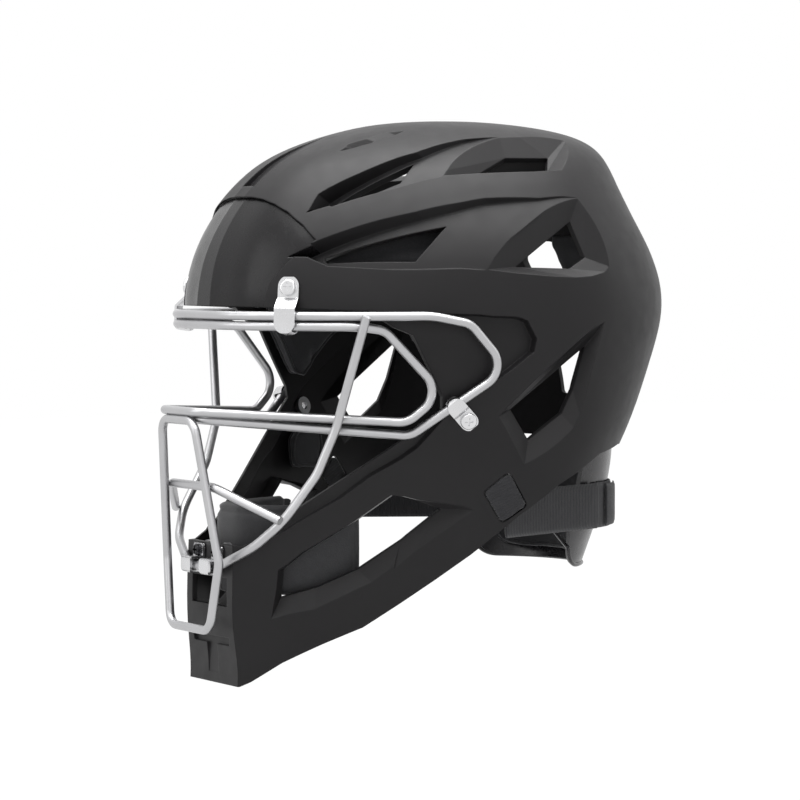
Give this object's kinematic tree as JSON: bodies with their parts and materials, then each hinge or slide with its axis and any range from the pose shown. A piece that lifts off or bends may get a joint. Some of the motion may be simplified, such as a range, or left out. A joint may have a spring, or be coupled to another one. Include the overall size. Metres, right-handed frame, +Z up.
{
  "type": "catcher's helmet",
  "caption": "Hard vented head and jaw guard with a welded wire face cage, a padded inside and a rear plate that pulls back on elastic straps.",
  "frame": {"origin": "centre of the outline in plan, at the level of the lowest edge of the chin", "axes": "+Z up through the crown, the face looks along -Y, the wearer's left side is +X"},
  "size_m": [0.2206, 0.2843, 0.302],
  "materials": {
    "shell_plastic": "fine matte moulded shell",
    "cage_steel": "satin silver wire",
    "clip_steel": "bright zinc sheet",
    "screw_steel": "bright zinc",
    "nut_steel": "plain steel",
    "pad_cloth": "black knitted cover over foam",
    "chin_cloth": "black smooth cover over foam",
    "plate_plastic": "semi-gloss moulded plate",
    "strap_webbing": "ribbed elastic webbing",
    "rivet_plastic": "moulded head"
  },
  "bodies": {
    "helmet": {"shell": "shell_plastic", "outer_cage_loop": "cage_steel", "inner_cage_loop": "cage_steel", "cheek_bar": "cage_steel", "chin_bar": "cage_steel", "throat_loop": "cage_steel", "brow_clip_left": "clip_steel", "brow_clip_right": "clip_steel", "side_clip_left": "clip_steel", "side_clip_right": "clip_steel", "chin_clips": "clip_steel", "brow_screws": "screw_steel", "side_screws": "screw_steel", "chin_screws": "screw_steel", "cage_nuts": "nut_steel", "front_pad": "pad_cloth", "crown_pad": "pad_cloth", "rear_pad": "pad_cloth", "temple_pad_left": "pad_cloth", "temple_pad_right": "pad_cloth", "scoop_pad_left": "pad_cloth", "scoop_pad_right": "pad_cloth", "cheek_pad_left": "pad_cloth", "cheek_pad_right": "pad_cloth", "chin_pad": "chin_cloth", "strap_keeper_left": "strap_webbing", "strap_keeper_right": "strap_webbing"},
    "straps": {"strap_left": "strap_webbing", "strap_right": "strap_webbing"},
    "rear_guard": {"strap_wrap": "strap_webbing", "strap_tabs": "strap_webbing", "plate_rivets": "rivet_plastic", "rear_plate": "plate_plastic", "rear_plate_pad": "pad_cloth"}
  },
  "joints": [
    {"name": "strap_swing", "type": "hinge", "parent": "helmet", "child": "straps", "pos_m": [0, 0.0095, 0.091], "axis": [1, 0, 0], "range_deg": [-14, 1.5]},
    {"name": "strap_stretch", "type": "slide", "parent": "straps", "child": "rear_guard", "axis": [0, 1, 0], "range_m": [0, 0.025], "stiffness_N_per_m": 600, "deforming": ["strap_left", "strap_right"]}
  ]
}
